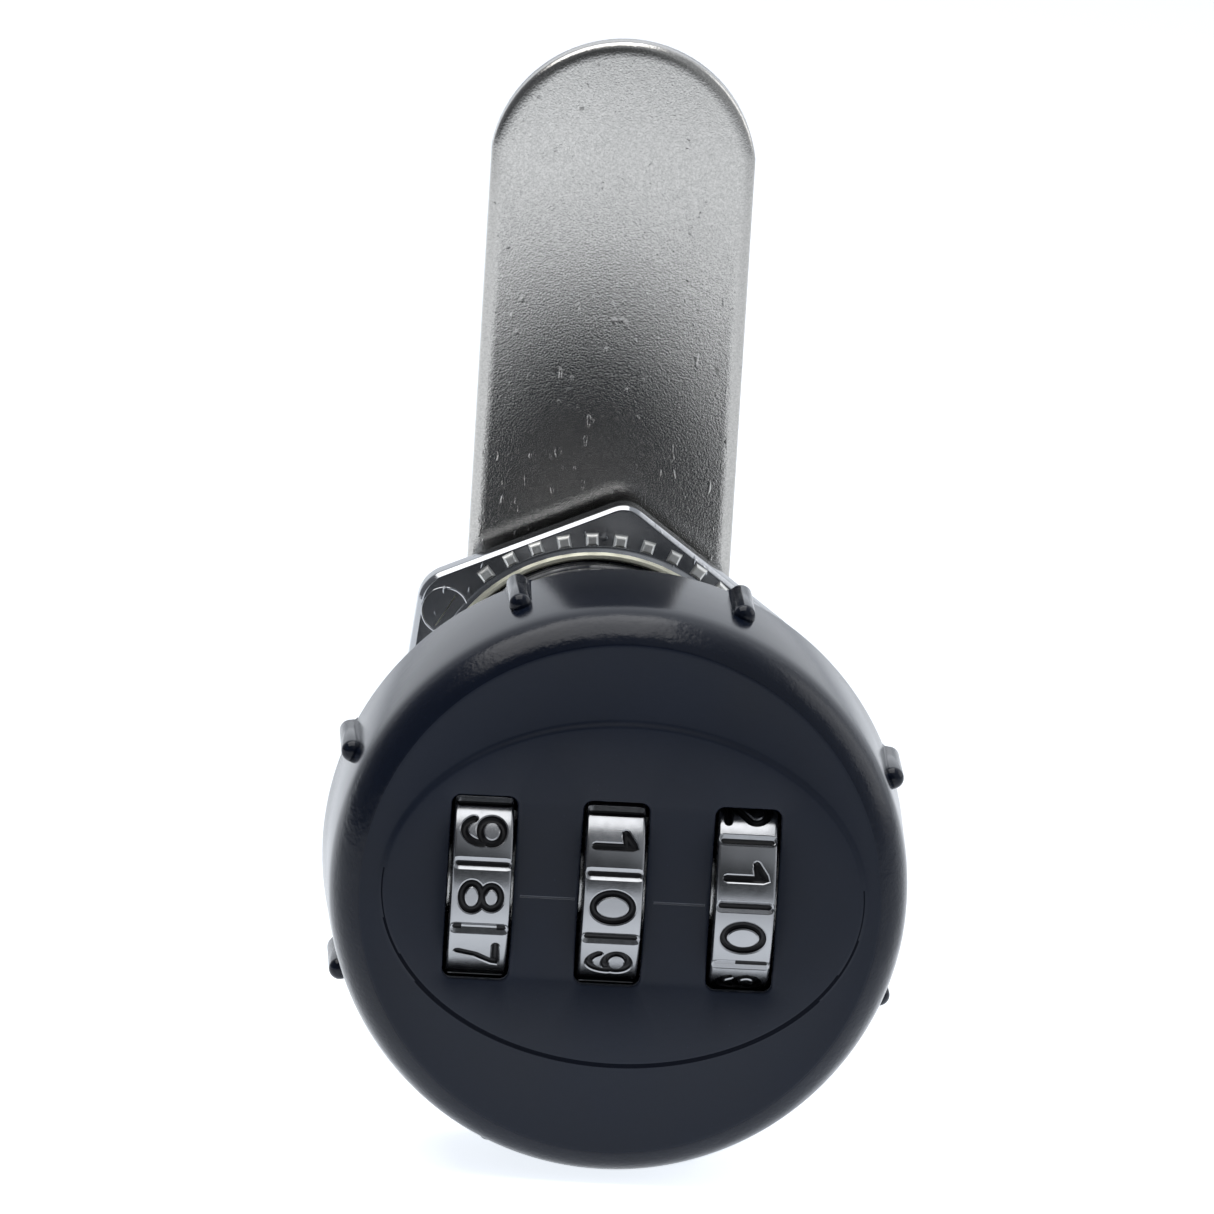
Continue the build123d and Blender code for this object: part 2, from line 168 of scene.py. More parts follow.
def metal(name, base, rough, grain, scale=2400, stretch=None, pits=0.0, pit_scale=900, dist=0.00001, flecks=0.0, speckle=0.0):
    """Plated metal with cloudy colour, a fine grain and, where asked, dark pits and short raised flecks."""
    m, nt, b = new_mat(name)
    v = coords(nt)
    cloud = noise(nt, v, 160, 4)
    fine = noise(nt, v, scale, 4, 0.6, stretch)
    col = ramp(nt, cloud, [(0.25, tuple(c * 0.93 for c in base)), (0.8, base)])
    if pits:
        pit = noise(nt, v, pit_scale, 2, 0.5)
        k = ramp(nt, pit, [(0.72, (0, 0, 0)), (0.78, (1, 1, 1))])
        k2 = node(nt, "ShaderNodeMath", operation="MULTIPLY")
        nt.links.new(k, k2.inputs[0])
        k2.inputs[1].default_value = pits
        col = mix(nt, k2.outputs[0], col, tuple(c * 0.3 for c in base))
    if speckle:
        dot = noise(nt, v, 9000, 2, 0.6)
        k3 = ramp(nt, dot, [(0.36, (1.0 - speckle,) * 3), (0.64, (1.0 + speckle,) * 3)])
        dots = node(nt, "ShaderNodeMix", data_type="RGBA", blend_type="MULTIPLY")
        dots.inputs[0].default_value = 1.0
        nt.links.new(col, dots.inputs[6])
        nt.links.new(k3, dots.inputs[7])
        col = dots.outputs[2]
    nt.links.new(col, b.inputs["Base Color"])
    b.inputs["Metallic"].default_value = 1.0
    nt.links.new(span(nt, fine, 0.25, 0.75, rough * 0.85, rough * 1.2), b.inputs["Roughness"])
    height = fine
    if flecks:
        fl = noise(nt, v, 2100, 1, 0.5, (1.0, 1.0, 0.45))
        up = ramp(nt, fl, [(0.70, (0, 0, 0)), (0.78, (1, 1, 1))])
        add = node(nt, "ShaderNodeMath", operation="MULTIPLY_ADD")
        nt.links.new(up, add.inputs[0])
        add.inputs[1].default_value = flecks
        nt.links.new(fine, add.inputs[2])
        height = add.outputs[0]
    bump(nt, b, height, grain, dist)
    return m


GLOSS = paint("knob_side_paint", 0.15, 0.22, 0.14, peel=0.14)
EDGE = paint("knob_chamfer_paint", 0.15, 0.24, 1.0, peel=0.30)
SATIN = paint("knob_face_paint", 0.36, 0.20, 0.30, base=(0.0055, 0.0083, 0.0160))
# darker, duller copy of the face paint: painted shade on the lower half of the pad's edge
PAD_EDGE_SHADE = paint("pad_edge_painted_shade", 0.45, 0.03, 0.30, base=(0.0018, 0.0026, 0.0055))
LINE = paint("index_line_paint", 0.5, 0.3, 0.6, base=(0.07, 0.075, 0.088))
INSIDE = paint("window_wall_paint", 0.45, 0.3, 0.30, base=(0.055, 0.060, 0.072))
CHROME = metal("dial_chrome", (0.305, 0.31, 0.32), 0.22, 0.30, 2600, dist=0.000012)
INK = paint("dial_ink", 0.40, 0.25, 0.5, base=(0.004, 0.004, 0.005))
NUT = metal("nut_plating", (0.43, 0.44, 0.455), 0.15, 0.75, 1500, pits=0.2, flecks=2.0)
# lighter, rougher copy of the nut plating for the teeth: painted highlight
TEETH_HIGHLIGHT_PLATING = metal("nut_tooth_painted_highlight", (0.78, 0.78, 0.75), 0.42, 0.5, 2600)
RING = metal("nut_ring_plating", (0.88, 0.86, 0.70), 0.40, 0.35, 2600)
CAMM = metal("cam_plating", (0.508, 0.495, 0.47), 0.13, 1.0, 8500, pits=0.6, pit_scale=1500, dist=0.000014, flecks=0.85, speckle=0.12)
STEEL = metal("steel_plating", (0.55, 0.55, 0.54), 0.26, 0.3, 2600, pits=0.2)
SPRING = metal("spring_steel", (0.40, 0.40, 0.41), 0.33, 0.25, 2600)


def thread_material():
    """Black paint on the barrel, thin on the thread's crests."""
    m, nt, b = new_mat("barrel_paint")
    v = coords(nt)
    broad = noise(nt, v, 200, 3)
    fine = noise(nt, v, 2800, 4, 0.6)
    sep = node(nt, "ShaderNodeSeparateXYZ")
    nt.links.new(v, sep.inputs[0])
    sq = []
    for ax in ("X", "Z"):
        p = node(nt, "ShaderNodeMath", operation="MULTIPLY")
        nt.links.new(sep.outputs[ax], p.inputs[0])
        nt.links.new(sep.outputs[ax], p.inputs[1])
        sq.append(p.outputs[0])
    s = node(nt, "ShaderNodeMath", operation="ADD")
    nt.links.new(sq[0], s.inputs[0])
    nt.links.new(sq[1], s.inputs[1])
    rad = node(nt, "ShaderNodeMath", operation="SQRT")
    nt.links.new(s.outputs[0], rad.inputs[0])
    near = span(nt, rad.outputs[0], 0.00938, 0.00950, 0.0, 1.0)
    past = span(nt, rad.outputs[0], 0.00958, 0.00970, 1.0, 0.0)
    edge = node(nt, "ShaderNodeMath", operation="MULTIPLY")
    nt.links.new(near, edge.inputs[0])
    nt.links.new(past, edge.inputs[1])
    worn = node(nt, "ShaderNodeMath", operation="MULTIPLY")
    nt.links.new(edge.outputs[0], worn.inputs[0])
    nt.links.new(span(nt, broad, 0.42, 0.62, 0.0, 0.75), worn.inputs[1])
    col = mix(nt, worn.outputs[0], (0.011, 0.0135, 0.019), (0.55, 0.55, 0.55))
    nt.links.new(col, b.inputs["Base Color"])
    nt.links.new(worn.outputs[0], b.inputs["Metallic"])
    nt.links.new(span(nt, fine, 0.3, 0.7, 0.16, 0.3), b.inputs["Roughness"])
    bump(nt, b, fine, 0.12, 0.00002)
    return m


BARREL = thread_material()


def washer_material():
    m, nt, b = new_mat("washer_nylon")
    v = coords(nt)
    n = noise(nt, v, 900, 3)
    nt.links.new(ramp(nt, n, [(0.3, (0.66, 0.64, 0.58)), (0.7, (0.76, 0.74, 0.69))]), b.inputs["Base Color"])
    nt.links.new(span(nt, n, 0.3, 0.7, 0.4, 0.55), b.inputs["Roughness"])
    bump(nt, b, n, 0.2, 0.00003)
    return m


NYLON = washer_material()


# ---------------------------------------------------------------- mesh tools
class Build:
    """Collects vertices (in mm) and faces with a material index."""

    def __init__(self):
        self.v, self.f, self.m = [], [], []

    def add(self, pts):
        start = len(self.v)
        self.v.extend(pts)
        return list(range(start, start + len(pts)))

    def bridge(self, a, b, mat=0, closed=True):
        n = len(a)
        for i in range(n if closed else n - 1):
            j = (i + 1) % n
            self.f.append((a[i], a[j], b[j], b[i]))
            self.m.append(mat)

    def loft(self, loops, mat=0):
        ids = [self.add(l) for l in loops]
        mats = mat if isinstance(mat, list) else [mat] * (len(ids) - 1)
        for k in range(len(ids) - 1):
            self.bridge(ids[k], ids[k + 1], mats[k])
        return ids

    def cap(self, ids, mat=0):
        c = [sum(self.v[i][k] for i in ids) / len(ids) for k in range(3)]
        k = self.add([tuple(c)])[0]
        n = len(ids)
        for i in range(n):
            self.f.append((ids[i], ids[(i + 1) % n], k))
            self.m.append(mat)

    def fill(self, loops, mat=0):
        """Flat region bounded by an outer loop and holes, given as vertex ids."""
        bm = bmesh.new()
        back, edges = {}, []
        for ids in loops:
            vs = []
            for i in ids:
                w = bm.verts.new(self.v[i])
                back[w] = i
                vs.append(w)
            for i in range(len(vs)):
                edges.append(bm.edges.new((vs[i], vs[(i + 1) % len(vs)])))
        bmesh.ops.triangle_fill(bm, use_beauty=True, use_dissolve=False, edges=edges)
        for f in bm.faces:
            self.f.append(tuple(back[w] for w in f.verts))
            self.m.append(mat)
        bm.free()

    def obj(self, name, mats, sharp=32, body=None, nodes=()):
        me = bpy.data.meshes.new(name)
        me.from_pydata([(x * MM, y * MM, z * MM) for x, y, z in self.v], [], self.f)
        for m in mats:
            me.materials.append(m)
        for p, k in zip(me.polygons, self.m):
            p.material_index = k
        finish_mesh(me, sharp)
        o = bpy.data.objects.new(name, me)
        bpy.context.scene.collection.objects.link(o)
        if body:
            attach(o, body)
        if nodes:
            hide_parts(*nodes)
        return o


def finish_mesh(me, sharp=32):
    bm = bmesh.new()
    bm.from_mesh(me)
    bmesh.ops.remove_doubles(bm, verts=bm.verts, dist=1e-7)
    bmesh.ops.recalc_face_normals(bm, faces=bm.faces)
    bm.to_mesh(me)
    bm.free()
    for p in me.polygons:
        p.use_smooth = True
    me.set_sharp_from_angle(angle=math.radians(sharp))
    me.update()


def ring(r, y, n=192, rx=None):
    rx = r if rx is None else rx
    return [(rx * math.sin(2 * math.pi * i / n), y, r * math.cos(2 * math.pi * i / n)) for i in range(n)]


def rounded(pts, seg=5):
    """Profile with its corners rounded: each point is (r, y) or (r, y, radius)."""
    out = []
    for i, p in enumerate(pts):
        rad = p[2] if len(p) > 2 else 0
        if not rad or i in (0, len(pts) - 1):
            out.append((p[0], p[1]))
            continue
        a, b, c = (Vector(pts[i - 1][:2]), Vector(p[:2]), Vector(pts[i + 1][:2]))
        u, w = (a - b).normalized(), (c - b).normalized()
        half = math.acos(max(-1, min(1, u.dot(w)))) / 2
        t = rad / math.tan(half)
        s, e = b + u * t, b + w * t
        centre = b + (u + w).normalized() * (rad / math.sin(half))
        a0 = math.atan2(s.y - centre.y, s.x - centre.x)
        a1 = math.atan2(e.y - centre.y, e.x - centre.x)
        d = (a1 - a0 + math.pi) % (2 * math.pi) - math.pi
        for k in range(seg + 1):
            q = a0 + d * k / seg
            out.append((centre.x + rad * math.cos(q), centre.y + rad * math.sin(q)))
    return out


def lathe(build, profile, n=192, mat=0):
    return build.loft([ring(r, y, n) for r, y in profile], mat)


def rrect(cx, cz, w, h, rad, y, seg=6):
    pts = []
    for k, (sx, sz) in enumerate(((1, 1), (1, -1), (-1, -1), (-1, 1))):
        ox, oz = cx + sx * (w / 2 - rad), cz + sz * (h / 2 - rad)
        a0 = (0, 90, 180, 270)[k]
        for i in range(seg + 1):
            a = math.radians(a0 + 90 * i / seg)
            pts.append((ox + rad * math.sin(a), y, oz + rad * math.cos(a)))
    return pts


# ---------------------------------------------------------------- knob shell
def knob():
    b = Build()
    n = 256
    # 0 gloss, 1 satin, 2 lines, 3 chamfer, 4 inside, 5 pad edge with painted shade
    dr, dy = FACE_R - KNOB_FRONT_R, FACE_Y - KNOB_EDGE_Y
    chord = math.hypot(dr, dy)
    bow = []
    for k in range(7, 0, -1):
        s = k / 8
        swell = 4 * CHAMFER_BOW * s * (1 - s)
        bow.append((KNOB_FRONT_R + dr * s - dy / chord * swell, KNOB_EDGE_Y + dy * s + dr / chord * swell))
    prof = rounded([(14.45, FACE_Y), (FACE_R, FACE_Y, 0.55)] + bow + [
        (KNOB_FRONT_R, KNOB_EDGE_Y, 0.2)] + SHOULDER + [(KNOB_REAR_R, KNOB_REAR_Y, 0.35), (CAVITY_R + 0.15, KNOB_REAR_Y, 0.1),
        (CAVITY_R, KNOB_REAR_Y - 0.3), (CAVITY_R, CAVITY_Y + 0.8), (CAVITY_R - 0.8, CAVITY_Y)], 6)
    pad = []
    for k in range(7):
        t = k / 6
        s = t * t * (3 - 2 * t)
        off = -0.38 + 0.48 * t
        pad.append([(PAD_X + (PAD_A + off) * math.sin(2 * math.pi * i / n), PAD_Y + PAD_T * s,
                     PAD_Z + (PAD_B + off) * math.cos(2 * math.pi * i / n)) for i in range(n)])
    loops = pad + [ring(r, y, n) for r, y in prof]
    mats = []
    for k in range(len(loops) - 1):
        if k < len(pad):
            mats.append(1)
            continue
        (r0, y0), (r1, y1) = prof[k - len(pad)], prof[k - len(pad) + 1]
        mats.append(4 if r1 < CAVITY_R + 0.02 and y1 > FACE_Y + 0.8 else 0 if y1 > KNOB_EDGE_Y - 0.12 else 3 if y1 > FACE_Y + 0.03 else 1)
    ids = b.loft(loops, mats)
    # painted shade: the lower half of the pad's edge gets a darker, duller paint
    for k in (1, 2, 3, 4):
        for i in range(n):
            if math.cos(2 * math.pi * (i + 0.5) / n) < (0, -0.4, 0.1, -0.2, -0.55)[k]:
                b.m[k * n + i] = 5
    front_holes, back_holes = [], []
    for i in (-1, 0, 1):
        cx = WIN_X + i * PITCH_X
        ls = [rrect(cx, WIN_Z, WIN_W + 0.22, WIN_H + 0.22, 0.62, PAD_Y),
              rrect(cx, WIN_Z, WIN_W + 0.09, WIN_H + 0.09, 0.57, PAD_Y + 0.03),
              rrect(cx, WIN_Z, WIN_W, WIN_H, 0.55, PAD_Y + 0.11),
              rrect(cx, WIN_Z, WIN_W, WIN_H, 0.55, PAD_Y + 0.45),
              rrect(cx, WIN_Z, WIN_W + 0.05, WIN_H + 1.15, 0.5, CAVITY_Y)]
        w = b.loft(ls, [1, 1, 4, 4])
        front_holes.append(w[0])
        back_holes.append(w[-1])
    for x0, x1 in INDEX_LINES:
        hz = 0.07
        o = b.add([(x0, PAD_Y, hz), (x1, PAD_Y, hz), (x1, PAD_Y, -hz), (x0, PAD_Y, -hz)])
        q = b.add([(x0 + 0.05, PAD_Y + 0.06, 0), (x1 - 0.05, PAD_Y + 0.06, 0)])
        for f in ((o[0], o[1], q[1], q[0]), (o[2], o[3], q[0], q[1]), (o[1], o[2], q[1]), (o[3], o[0], q[0])):
            b.f.append(f)
            b.m.append(2)
        front_holes.append(o)
    b.fill([ids[0]] + front_holes, 1)
    b.fill([ids[-1]] + back_holes, 1)
    o = b.obj("knob_shell_skin", [GLOSS, SATIN, LINE, EDGE, INSIDE, PAD_EDGE_SHADE], 28, "knob", ["knob_shell"])
    return o


def ribs():
    """Eight round bars along the side wall, each with a rounded nose and a small fillet at its foot."""
    b = Build()
    y_nose = KNOB_REAR_Y - RIB_LEN

    def wall(y):
        k = (y - KNOB_EDGE_Y) / (KNOB_REAR_Y - KNOB_EDGE_Y)
        return KNOB_FRONT_R + (KNOB_REAR_R - KNOB_FRONT_R) * k

    prof = []
    for k in range(1, 10):
        q = math.radians(90 * k / 9)
        prof.append((y_nose + RIB_R * (1 - math.cos(q)), RIB_R * math.sin(q)))
    prof += [(KNOB_REAR_Y - 0.15, RIB_R), (KNOB_REAR_Y - 0.04, RIB_R - 0.05), (KNOB_REAR_Y, RIB_R - 0.16)]
    for k in range(8):
        a = math.radians(22.5 + 45 * k)

        def place(u, y, w):
            return (w * math.sin(a) + u * math.cos(a), y, w * math.cos(a) - u * math.sin(a))

        ids = b.loft([[place(r * math.cos(2 * math.pi * i / 40), y, RIB_C + r * math.sin(2 * math.pi * i / 40)) for i in range(40)] for y, r in prof])
        b.cap(ids[0])
        b.cap(ids[-1])
        for side in (-1, 1):
            loops = []
            for i in range(13):
                y = y_nose + 0.30 + (KNOB_REAR_Y - 0.05 - y_nose - 0.30) * i / 12
                f = 0.22 * min(1, 0.15 + (y - y_nose - 0.30) / 0.7)
                base = wall(y)
                half = math.sqrt(max(RIB_R ** 2 - (base - RIB_C) ** 2, 0))
                if y < y_nose + RIB_R:
                    half *= math.sqrt(max(1 - ((y_nose + RIB_R - y) / RIB_R) ** 2, 0))
                h0 = base + f
                u0 = min(half, math.sqrt(max(RIB_R ** 2 - (h0 - RIB_C) ** 2, 0))) - 0.01
                u2 = half + f
                pts = []
                for j in range(6):
                    s = j / 5
                    u = (1 - s) ** 2 * u0 + 2 * s * (1 - s) * half + s * s * u2
                    w = (1 - s) ** 2 * h0 + 2 * s * (1 - s) * base + s * s * (base - u2 * u2 / (2 * base) - 0.004)
                    pts.append(place(side * u, y, w))
                pts.append(place(side * (half - 0.15), y, base - 0.2))
                loops.append(pts)
            q = b.loft(loops)
            b.cap(q[0])
            b.cap(q[-1])
    return b.obj("knob_ribs", [GLOSS], 50, "knob", ())


knob()
ribs()

# ---------------------------------------------------------------- number dials
# strokes of an engraved figure, in a box 1 high: u to the right, v up
def arc(cu, cv, ru, rv, a0, a1, n=14):
    return [(cu + ru * math.cos(math.radians(a0 + (a1 - a0) * i / n)), cv + rv * math.sin(math.radians(a0 + (a1 - a0) * i / n))) for i in range(n + 1)]


FIG = {
    0: [arc(0, 0, 0.40, 0.5, 90, 450, 40)],
    1: [[(-0.24, 0.25), (0.16, 0.5), (0.16, -0.5)], [(-0.16, 0.25), (0.14, 0.30)]],
    2: [arc(0, 0.2, 0.36, 0.3, 170, -25, 16) + [(-0.36, -0.5), (0.38, -0.5)]],
    3: [arc(-0.02, 0.25, 0.32, 0.25, 160, -80, 14), arc(-0.02, -0.24, 0.37, 0.27, 85, -160, 16)],
    4: [[(0.15, -0.5), (0.15, 0.5), (-0.38, -0.2), (0.38, -0.2)]],
    5: [[(0.32, 0.5), (-0.24, 0.5), (-0.3, 0.03)] + arc(-0.01, -0.19, 0.37, 0.31, 140, -150, 18)],
    6: [arc(0.0, -0.2, 0.37, 0.3, 180, 540, 30), arc(0.02, 0.0, 0.39, 0.5, 180, 50, 16)],
    7: [[(-0.36, 0.45), (0.36, 0.47), (0.02, -0.05), (-0.1, -0.5)]],
    8: [arc(0, 0.26, 0.32, 0.24, 270, 630, 28), arc(0, -0.24, 0.38, 0.26, 90, 450, 30)],
    9: [arc(0.0, 0.2, 0.37, 0.3, 0, 360, 30), arc(-0.02, 0.0, 0.39, 0.5, 0, -150, 18)],
}
FIG_H, FIG_W = 2.26, 2.1


def resample(pts, step):
    out = [pts[0]]
    for a, b in zip(pts, pts[1:]):
        d = math.dist(a, b)
        k = max(1, round(d / step))
        for i in range(1, k + 1):
            out.append((a[0] + (b[0] - a[0]) * i / k, a[1] + (b[1] - a[1]) * i / k))
    return out


def tube(b, cx, phi0, pts, radius, lift, mat_of, sides=10):
    """A bent round bar along a stroke laid on the dial: pts are (u, v) in mm."""
    closed = math.dist(pts[0], pts[-1]) < 1e-6
    if closed:
        pts = pts[:-1]
    rings = []
    n = len(pts)
    for i, (u, v) in enumerate(pts):
        if closed:
            a, c = pts[i - 1], pts[(i + 1) % n]
        else:
            a, c = pts[max(i - 1, 0)], pts[min(i + 1, n - 1)]
        t = Vector((c[0] - a[0], c[1] - a[1])).normalized()
        nu, nv = -t.y, t.x
        loop = []
        for s in range(sides):
            q = 2 * math.pi * s / sides
            du, dr = radius * math.cos(q), radius * math.sin(q)
            uu, vv, rr = u + nu * du, v + nv * du, DIAL_R + lift + dr
            ph = phi0 - uu / DIAL_R
            loop.append((cx + vv, AXLE_Y - rr * math.cos(ph), AXLE_Z + rr * math.sin(ph)))
        rings.append(b.add(loop))
    for i in range(n if closed else n - 1):
        j = (i + 1) % n
        mid = ((pts[i][0] + pts[j][0]) / 2, (pts[i][1] + pts[j][1]) / 2)
        b.bridge(rings[i], rings[j], mat_of(*mid))
    if not closed:
        # round ends
        for idx, sgn in ((0, -1), (n - 1, 1)):
            u, v = pts[idx]
            a, c = (pts[0], pts[1]) if idx == 0 else (pts[-2], pts[-1])
            t = Vector((c[0] - a[0], c[1] - a[1])).normalized() * sgn
            nu, nv = (-t.y, t.x) if sgn > 0 else (t.y, -t.x)
            prev = rings[idx]
            for step in (0.5, 0.87):
                k = math.sqrt(1 - step * step)
                loop = []
                for s in range(sides):
                    q = 2 * math.pi * s / sides
                    du, dr = radius * k * math.cos(q), radius * k * math.sin(q)
                    uu = u + t.x * radius * step + nu * du
                    vv = v + t.y * radius * step + nv * du
                    rr = DIAL_R + lift + dr
                    ph = phi0 - uu / DIAL_R
                    loop.append((cx + vv, AXLE_Y - rr * math.cos(ph), AXLE_Z + rr * math.sin(ph)))
                nxt = b.add(loop)
                b.bridge(prev, nxt, mat_of(u, v))
                prev = nxt
            b.cap(prev, mat_of(u, v))


def cutter(name, cx, shift, radius, bar_radius, lift, worn, mats):
    """All figures and dividing bars of one dial as one cutting mesh. shift is the figure at the index."""
    b = Build()
    for d in range(10):
        phi = math.radians(36 * (d - shift))
        for stroke in FIG[d]:
            pts = [(u * FIG_W, v * FIG_H) for u, v in stroke]
            pts = resample(pts, 0.16)
            tube(b, cx, phi, pts, radius, lift, lambda u, v: 1)
        gap = math.radians(36 * (d - shift) + 18)
        bar = resample([(0, -1.36), (0, 1.36)], 0.12)
        tube(b, cx, gap, bar, bar_radius, lift, lambda u, v, dd=d: worn(dd, v))
    me = bpy.data.meshes.new(name)
    me.from_pydata([(x * MM, y * MM, z * MM) for x, y, z in b.v], [], b.f)
    for m in mats:
        me.materials.append(m)
    for p, k in zip(me.polygons, b.m):
        p.material_index = k
    bm = bmesh.new()
    bm.from_mesh(me)
    bmesh.ops.recalc_face_normals(bm, faces=bm.faces)
    bm.to_mesh(me)
    bm.free()
    o = bpy.data.objects.new(name, me)
    bpy.context.scene.collection.objects.link(o)
    return o


def dial(n, shift, worn):
    cx = WIN_X + (n - 2) * PITCH_X
    b = Build()
    half = DIAL_W / 2
    prof = [(-half, HUB), (-half, DIAL_R - 0.3)]
    for k in range(1, 6):
        t = math.radians(90 * k / 5)
        prof.append((-half + 0.18 * (1 - math.cos(t)), DIAL_R - 0.2 + 0.2 * math.sin(t)))
    prof += [(-0.6, DIAL_R), (0.6, DIAL_R)]
    prof += [(-x, r) for x, r in prof[:-2][::-1]]
    steps = 240
    loops = []
    for x, r in prof:
        loops.append([(cx + x, AXLE_Y - r * math.cos(2 * math.pi * i / steps), AXLE_Z + r * math.sin(2 * math.pi * i / steps)) for i in range(steps)])
    ids = b.loft(loops)
    b.bridge(ids[-1], ids[0])
    o = b.obj(f"dial_{n}_wheel", [CHROME, INK], 30)
    cuts = [cutter(f"bevel_{n}", cx, shift, 0.36, 0.46, 0.22, lambda d, v: 0, [CHROME, CHROME]),
            cutter(f"ink_{n}", cx, shift, 0.22, 0.20, -0.09, worn, [CHROME, INK])]
    for c in cuts:
        m = o.modifiers.new("cut", "BOOLEAN")
        m.operation = "DIFFERENCE"
        m.solver = "EXACT"
        m.use_self = True
        m.material_mode = "TRANSFER"
        m.object = c
    dg = bpy.context.evaluated_depsgraph_get()
    me = bpy.data.meshes.new_from_object(o.evaluated_get(dg))
    o.modifiers.clear()
    o.data = me
    for c in cuts:
        bpy.data.objects.remove(c)
    for p in me.polygons:
        p.use_smooth = True
    me.set_sharp_from_angle(angle=math.radians(30))
    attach(o, f"dial_{n}")
    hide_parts(f"dial_{n}")
    print("dial", n, len(me.polygons), "faces")


dial(1, SHOWN[0], lambda d, v: 0 if d == 7 and abs(v) < 1.05 else 1)
dial(2, SHOWN[1], lambda d, v: 1)
dial(3, SHOWN[2], lambda d, v: 0 if d == 9 and v < -0.35 else 1)

# ---------------------------------------------------------------- hex nut
def hex_radius(theta, grow=0.0):
    """Distance from the axis to the nut's outline at an angle from the cam's direction, clockwise from the front."""
    a = NUT_AF / 2 + grow
    rel = (theta - NUT_TURN) % 360
    corner = round(rel / 60) % 6
    delta = math.radians((rel - corner * 60 + 180) % 360 - 180)
    radius = NUT_SHARP if corner % 2 == 0 else NUT_SOFT
    rho = radius + grow
    rc = (NUT_AF / 2 - radius) / math.cos(math.radians(30))
    psi = math.radians(30) - abs(delta)
    lim = math.atan((a - rho) * math.tan(math.radians(30)) / a)
    if psi <= lim:
        return a / math.cos(psi)
    return rc * math.cos(delta) + math.sqrt(max(rho * rho - (rc * math.sin(delta)) ** 2, 0))


def nut():
    b = Build()
    n = 720

    def outline(grow, y):
        return [(hex_radius(360 * i / n, grow) * math.sin(2 * math.pi * i / n), y, hex_radius(360 * i / n, grow) * math.cos(2 * math.pi * i / n)) for i in range(n)]

    def rnd(r, y):
        return ring(r, y, n)

    # 0 plating, 1 ring plating, 2 teeth with painted highlight
    loops = [rnd(9.57, NUT_Y1 - 0.3), rnd(9.57, NUT_Y0 - LIP_H + 0.22), rnd(9.66, NUT_Y0 - LIP_H + 0.06), rnd(9.72, NUT_Y0 - LIP_H),
             rnd(9.82, NUT_Y0 - LIP_H), rnd(9.92, NUT_Y0 - LIP_H + 0.02), rnd(10.08, NUT_Y0 - 0.165), rnd(10.24, NUT_Y0 - 0.05), rnd(10.32, NUT_Y0 - 0.012),
             rnd(10.40, NUT_Y0), rnd(10.46, NUT_Y0), outline(-0.35, NUT_Y0),
             outline(-0.29, NUT_Y0), outline(-0.24, NUT_Y0 + 0.015), outline(-0.06, NUT_Y0 + 0.22), outline(-0.02, NUT_Y0 + 0.29), outline(0.0, NUT_Y0 + 0.42),
             outline(0.0, NUT_Y1 - 0.22), outline(-0.10, NUT_Y1 - 0.05), outline(-0.30, NUT_Y1), rnd(9.87, NUT_Y1)]
    mats = [0] + [1] * 5 + [0] * 14
    ids = b.loft(loops, mats)
    b.bridge(ids[-1], ids[0], 0)
    for k in range(TEETH):
        # no tooth where a round mark lies
        turn = (360 / TEETH * k + TOOTH_TURN + 3.0) % 120
        if -11.0 < turn - 60 < 9.5:
            continue
        a = math.radians(360 / TEETH * k + NUT_TURN + TOOTH_TURN)
        jit = random.uniform(-0.03, 0.03)
        r0, r1, w = TOOTH_IN + 0.02, TOOTH_OUT, 0.40 + jit
        levels = [(0.08, 0.0, 0.0), (0.0, 0.0, 0.0), (-TOOTH_H * 0.55, 0.03, 0.04), (-TOOTH_H * 0.88, 0.09, 0.11), (-TOOTH_H, 0.15, 0.18)]
        ls = []
        for dy, iw, ir in levels:
            pts = []
            for uu, rr in ((-w + iw, r0 + ir), (w - iw, r0 + ir), (w - iw, r1 - ir), (-w + iw, r1 - ir)):
                pts.append((rr * math.sin(a) + uu * math.cos(a), NUT_Y0 + dy, rr * math.cos(a) - uu * math.sin(a)))
            ls.append(pts)
        q = b.loft(ls, 2)
        b.f.append(tuple(q[-1]))
        b.m.append(2)
    # round marks of the casting at every other corner
    for k in (1, 3, 5):
        a = math.radians(NUT_TURN + 60 * k - 3.0)
        rc = 11.0
        c = (rc * math.sin(a), rc * math.cos(a))
        ls = []
        for r, dy in ((1.47, 0.02), (1.43, -0.03), (1.39, -0.04), (1.35, -0.03), (1.31, 0.01)):
            ls.append([(c[0] + r * math.sin(2 * math.pi * i / 48), NUT_Y0 + dy, c[1] + r * math.cos(2 * math.pi * i / 48)) for i in range(48)])
        q = b.loft(ls)
        b.cap(q[-1])
        # a scratch across the mark
        s = []
        for u, v, dy in ((-0.55, -0.95, 0), (-0.5, -0.98, -0.02), (0.62, 0.95, 0), (0.57, 0.98, -0.02)):
            s.append((c[0] + u, NUT_Y0 - 0.012 + dy, c[1] + v))
        j = b.add([s[0], s[2], s[3], s[1]])
        b.f.append(tuple(j))
        b.m.append(1)
    return b.obj("nut_body", [NUT, RING, TEETH_HIGHLIGHT_PLATING], 24, "nut", ["hex_nut"])


nut()

